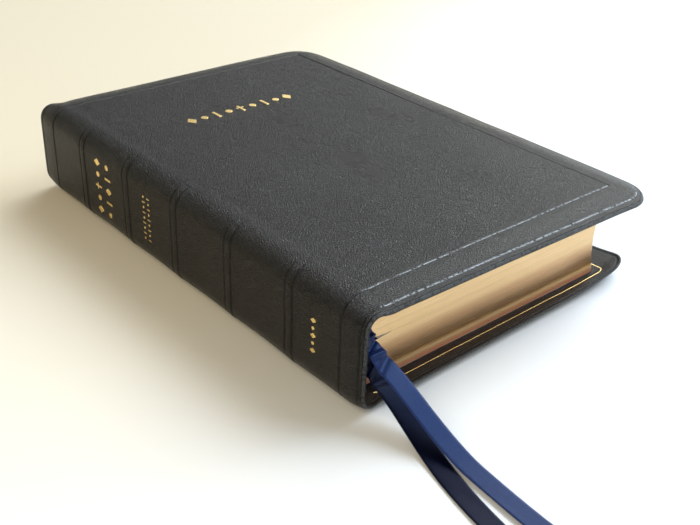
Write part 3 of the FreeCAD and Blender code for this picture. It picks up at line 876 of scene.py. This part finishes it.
# %% Gold fillets
FILLET_FORE = FORE_LIP - 2.9 * MM
FILLET_TAIL = TAIL_LIP - 3.7 * MM
FILLET_ROUND = 3.5 * MM
FILLET_WIDTH = 0.42 * MM


def fillet_line(start):
    """Places on the flat hide along the line, with the direction across it."""
    fore, tail = HALF_GIRTH - FILLET_FORE - FILLET_ROUND, HALF_HEIGHT - FILLET_TAIL - FILLET_ROUND
    places = [(g, -tail - FILLET_ROUND, 0.0, -1.0) for g in np.arange(start, fore, 2 * MM)]
    for turn_from, centre in ((-90, -tail), (0, tail)):
        for degrees in np.linspace(turn_from, turn_from + 90, 11):
            out = (math.cos(math.radians(degrees)), math.sin(math.radians(degrees)))
            places.append((fore + FILLET_ROUND * out[0], centre + FILLET_ROUND * out[1], *out))
        if turn_from < 0:
            places += [(fore + FILLET_ROUND, h, 1.0, 0.0) for h in np.arange(-tail + 2 * MM, tail,
                                                                             2 * MM)]
    places += [(g, tail + FILLET_ROUND, 0.0, 1.0) for g in np.arange(fore, start, -2 * MM)]
    return np.array(places)


for face, side in ((1, "front"), (-1, "back")):
    line = fillet_line(FLAT_SPINE + SHOULDER_GIRTH + COVER_START[face])
    rings = []
    for across, lift in ((-1, -0.05), (-0.6, 0.05), (0.6, 0.05), (1, -0.05)):
        g = line[:, 0] + line[:, 2] * across * FILLET_WIDTH / 2
        h = line[:, 1] + line[:, 3] * across * FILLET_WIDTH / 2
        rings.append(on_hide(face * g, h, hide_thickness(g, h) + LINING_LIFT + lift * MM))
    count = len(line)
    table = np.arange(4 * count).reshape(4, count)
    fillet = mesh_piece("gold_fillet_" + side, np.concatenate(rings),
                        quads_of(table, face < 0), [GOLD_LEAF])
    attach(fillet, side + "_cover")
print("fillet points", count)

# %% [markdown]
# ## Page groups
# The pages are thin, and hundreds of them are sewn in groups, folded at the spine.
# Each group here is a sheaf of leaf bundles: at the head, tail and fore-edge every
# bundle stands a few hundredths of a millimetre in or out of its neighbours, as in a
# sanded and gilded edge, and at the spine the fold is round. The two groups beside
# the ribbons close over them away from the spine, where no ribbon keeps them apart.
# Every leaf slides a little, so that the fold and the fore-edge are smoothly rounded.

# %% Page groups
BUNDLES = 10
PAGE_CORNER = 1.2 * MM
LEAF_STEP = 0.012 * MM
CLOSE_START, CLOSE_END = 11.9 * MM, 16 * MM
dice = np.random.default_rng(7)
marked_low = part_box("section_06")[1].z
marked_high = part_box("section_07")[0].z
SECTIONS = ["section_%02d" % number for number in range(1, 13)]
section_heights = [(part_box(s)[0].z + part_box(s)[1].z) / 2 for s in SECTIONS]
section_folds = [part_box(s)[0].x for s in SECTIONS]


def page_group(name):
    low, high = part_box(name)
    columns = np.concatenate([[low.x], low.x + np.array([0.5, 1.2, 3.0]) * MM,
                              np.arange(low.x + 6 * MM, high.x - PAGE_CORNER, 4 * MM),
                              high.x - PAGE_CORNER * np.array([1, 0.75, 0.5, 0.25, 0])])
    ends = PAGE_CORNER * np.array([0, 0.25, 0.5, 0.75, 1])
    rows = np.concatenate([low.y + ends, np.linspace(low.y, high.y, 40)[1:-1],
                           (high.y - ends)[::-1]])
    x, y = np.meshgrid(columns, rows, indexing="ij")
    x, y = round_corner(x, y, high.x - PAGE_CORNER, high.y - PAGE_CORNER, PAGE_CORNER)
    nx, ny = x.shape
    sheet = nx * ny
    index = np.arange(sheet).reshape(nx, ny)
    rim = rim_of(index)
    at_fold = (rim < ny) & (np.roll(rim, -1) < ny)
    half = (high.z - low.z) / 2
    middle = (high.z + low.z) / 2

    def layer(z, recess):
        """One outline or sheet of the group, drawn in a little, with its fold round."""
        share = np.clip((z - middle) / half, -1, 1)
        fold = half * (1 - math.sqrt(max(0.0, 1 - (share * 0.96) ** 2)))
        keep = (x - low.x) / (high.x - low.x)
        rounding = np.interp(z, section_heights, section_folds) - low.x
        lx = (x + rounding + fold * (1 - keep) ** 8 - recess
              * np.clip((x - (high.x - 3 * MM)) / (3 * MM), 0, 1))
        ly = y - np.sign(y) * recess * np.clip((np.abs(y) - (high.y - 3 * MM)) / (3 * MM), 0, 1)
        closing = smooth_step(x - low.x, CLOSE_START,
                              CLOSE_END) * (marked_high - marked_low - 0.06 * MM) / 2
        lift = 0.0
        if name == "section_06":
            lift = closing * (share + 1) / 2
        elif name == "section_07":
            lift = -closing * (1 - share) / 2
        return np.stack([lx, ly, z + lift + 0 * lx], axis=-1)

    heights = np.linspace(low.z, high.z, BUNDLES + 1)
    rings = []
    for k in range(BUNDLES):
        recess = LEAF_STEP * dice.random()
        rings += [(heights[k], recess), (heights[k + 1], recess)]
    bottom = layer(heights[0], rings[0][1])
    top = layer(heights[-1], rings[-1][1])
    points = [bottom.reshape(-1, 3), top.reshape(-1, 3)]
    quads = [quads_of(index, True), quads_of(index + sheet)]
    finishes = [1] * (2 * len(quads[0]))
    lower = rim
    for k, (z, recess) in enumerate(rings[1:], 1):
        if k == len(rings) - 1:
            upper = rim + sheet
        else:
            upper = np.arange(len(rim)) + sum(len(p) for p in points)
            points.append(layer(z, recess).reshape(-1, 3)[rim])
        quads.append(np.stack([lower, np.roll(lower, -1), np.roll(upper, -1), upper], axis=1))
        finishes += list(np.where(at_fold, 1, 0))
        lower = upper
    piece = mesh_piece("pages_" + name[-2:], np.concatenate(points), np.concatenate(quads),
                       [PAGE_GILT, PAGE_PAPER], finishes, smooth=False)
    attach(piece, "back_cover" if name == "section_01" else name)
    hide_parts(name)
    return piece


groups = [page_group(name) for name in SECTIONS]
print(len(groups), "page groups of", len(groups[0].data.vertices), "points")

# %% [markdown]
# ## Gold tooling
# A row of plain ornaments is stamped in gold high on the front cover, and three panels of the spine hold
# smaller rows. They are a lozenge, a disc, a bar and a small cross, in turn: thin raised shapes that are
# laid on the hide with the same function, so they follow its every dip.

# %% Ornaments
def disc(count, radius):
    turns = [2 * math.pi * k / count for k in range(count)]
    return [(radius * math.cos(turn), radius * math.sin(turn)) for turn in turns]


ORNAMENTS = {
    "lozenge": [(0, -0.5), (0.36, 0), (0, 0.5), (-0.36, 0)],
    "disc": disc(16, 0.26),
    "bar": [(-0.11, -0.5), (0.11, -0.5), (0.11, 0.5), (-0.11, 0.5)],
    "cross": [(-0.09, -0.5), (0.09, -0.5), (0.09, 0.02), (0.32, 0.02), (0.32, 0.2), (0.09, 0.2),
              (0.09, 0.5),
              (-0.09, 0.5), (-0.09, 0.2), (-0.32, 0.2), (-0.32, 0.02), (-0.09, 0.02)],
}
LEAF_RAISE = 0.05 * MM


def stamp_row(name, shapes, centre, size, pitch, keep=lambda girth: True):
    """A row of ornaments along the girth, around centre = (girth, height)."""
    points, faces = [], []
    for number, shape in enumerate(shapes):
        middle = (centre[0] + (number - (len(shapes) - 1) / 2) * pitch, centre[1])
        if not keep(middle[0]):
            continue
        outline = np.array(ORNAMENTS[shape]) * size
        places = [outline, outline * 0.93]
        start = sum(len(p) for p in points)
        n = len(outline)
        for ring, depth in zip(places, (0.04 * MM, -LEAF_RAISE)):
            points.append(on_hide(middle[0] + ring[:, 0], middle[1] + ring[:, 1], depth))
        faces += [(start + k, start + (k + 1) % n, start + n + (k + 1) % n,
                   start + n + k) for k in range(n)]
        faces.append(tuple(start + n + k for k in range(n)))
    if not faces:
        return None
    piece = mesh_piece(name, np.concatenate(points), faces, [GOLD_LEAF], smooth=False)
    return piece


COVER_ROW = ["lozenge", "disc", "bar", "disc", "cross", "disc", "bar", "disc", "lozenge"]
COVER_ROW_CENTRE = (FLAT_SPINE + SHOULDER_GIRTH + 55.5 * MM, 48 * MM)
cover_row = stamp_row("gold_front_cover", COVER_ROW, COVER_ROW_CENTRE, 6.0 * MM, 5.9 * MM)
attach(cover_row, "front_cover")
SPINE_ROWS = [
    ("title_one", ["lozenge", "disc", "cross", "disc", "lozenge"], 53.6 * MM, 4.4 * MM, 5.0 * MM),
    ("title_two", ["disc", "bar", "lozenge", "bar", "disc"], 46.4 * MM, 4.4 * MM, 5.0 * MM),
    ("note_one", ["disc", "bar", "disc", "bar", "disc", "bar", "disc", "bar", "disc"], 20.4 * MM,
     1.9 * MM, 2.1 * MM),
    ("note_two", ["bar", "disc", "bar", "disc", "bar", "disc", "bar", "disc", "bar"], 17.2 * MM,
     1.9 * MM, 2.1 * MM),
    ("foot", ["lozenge", "disc", "lozenge", "disc", "lozenge"], -76.5 * MM, 2.6 * MM, 2.7 * MM),
]
for name, shapes, height, size, pitch in SPINE_ROWS:
    for half, bodies, bend_at in (("low", ("back_shoulder", "spine"), SHOULDER),
                                  ("high", ("spine", "front_shoulder"), BOOK_TOP - SHOULDER)):
        row = stamp_row("gold_" + name + "_" + half, shapes, (0.0, height), size, pitch,
                        lambda girth: (girth < -1e-6) == (half == "low"))
        if row:
            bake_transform(row)

# %% [markdown]
# ## Floor and light
# A pale table, a large cool window beyond the fore-edge, a soft warm wall on the spine side, and a cool
# sky light low in front. The table's colour is painted warm cream and darker towards the back and cool
# blue towards the front, as painted light. The floor isn't part of the object.

# %% Floor and light
def floor_finish():
    material, tree, shader = new_finish("floor", Roughness=0.6, Specular_IOR_Level=0.3)
    grain = noise(tree, stretched(tree, (9, 9, 9)))
    place = add(tree, "TexCoord").outputs["Object"]
    spot = add(tree, "SeparateXYZ", Vector=place)
    towards_front = math_node(tree, "SUBTRACT", times(tree, spot.outputs["X"], 0.35),
                              spot.outputs["Y"])
    drift = plus(tree, towards_front, times(tree, grain, 0.05))
    # Warm darker cream towards the back, cool blue towards the front: painted warm room light and cool
    # window light.
    colour = ramp(tree, spread(tree, drift, -0.14, 0.16), (0.0, (0.66, 0.61, 0.49)),
                  (0.5, (0.80, 0.78, 0.71)), (1.0, (0.78, 0.84, 0.94)))
    feed(tree, shader, Base_Color=colour)
    return material


FLOOR_SIZE = 6.0
bpy.ops.mesh.primitive_plane_add(size=FLOOR_SIZE, location=(0, 0, -0.02 * MM))
floor = bpy.context.object
floor.name = "floor"
floor.data.materials.append(floor_finish())


def window(name, place, aim, size, power, colour):
    data = bpy.data.lights.new(name, "AREA")
    data.shape = "RECTANGLE"
    data.size, data.size_y = size
    data.energy = power
    data.color = colour
    lamp = bpy.data.objects.new(name, data)
    bpy.context.scene.collection.objects.link(lamp)
    lamp.location = place
    lamp.rotation_euler = (Vector(aim) - Vector(place)).to_track_quat("-Z", "Y").to_euler()


window("window", (0.95, 0.30, 0.95), (0, 0, 0), (1.5, 1.2), 12.5, (0.88, 0.94, 1.0))
window("front_sky", (0.75, -0.45, 0.75), (0, -0.05, 0.02), (0.7, 0.5), 6.0, (0.66, 0.82, 1.0))
window("warm_wall", (-1.0, -0.25, 0.8), (-0.1, 0, 0), (1.4, 1.1), 12.0, (1.0, 0.86, 0.62))

world = bpy.data.worlds.new("room")
world.use_nodes = True
bpy.context.scene.world = world
sky = world.node_tree
direction = add(sky, "TexCoord").outputs["Generated"]
split = add(sky, "SeparateXYZ", Vector=direction)
room_colour = ramp(sky, spread(sky, split.outputs["X"], -0.9, 0.9), (0.0, (1.0, 0.86, 0.62)),
                   (0.5, (1.0, 0.94, 0.83)), (1.0, (0.93, 0.97, 0.96)))
WINDOW_SIDE, DARK_SIDE = (0.84, 0.12, 0.53), (-0.52, 0.62, 0.59)


def facing(way):
    """1 where the room lies in that way, 0 across it."""
    return add(sky, "VectorMath", {"operation": "DOT_PRODUCT"},
               i0=direction, i1=way).outputs["Value"]


glow = spread(sky, facing(WINDOW_SIDE), 0.78, 0.98, 0.0, 3.4, smooth=True)
shade = spread(sky, facing(DARK_SIDE), 0.30, 0.88, 0.44, 0.04, smooth=True)
feed(sky, sky.nodes["Background"], Color=room_colour, Strength=plus(sky, glow, shade))
bpy.context.scene.view_settings.view_transform = "Standard"

# %% Finishes of the frame's own nodes
NODE_FINISH = {"board": BOARD, "spine_liner": BOARD, "hinge_cloth": HINGE_CLOTH,
               "sewing": LINEN_THREAD,
               "flyleaf": ENDPAPER, "lining": LINING_LEATHER, "upper_ribbon": BLUE_IN_PAGES,
               "lower_ribbon": NAVY_AND_SHADE_IN_PAGES, "section": PAGE_GILT, "leather": COVER_LEATHER}
for name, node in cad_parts.items():
    finish = next(f for words, f in NODE_FINISH.items() if words in name)
    node.data.materials.clear()
    node.data.materials.append(finish)
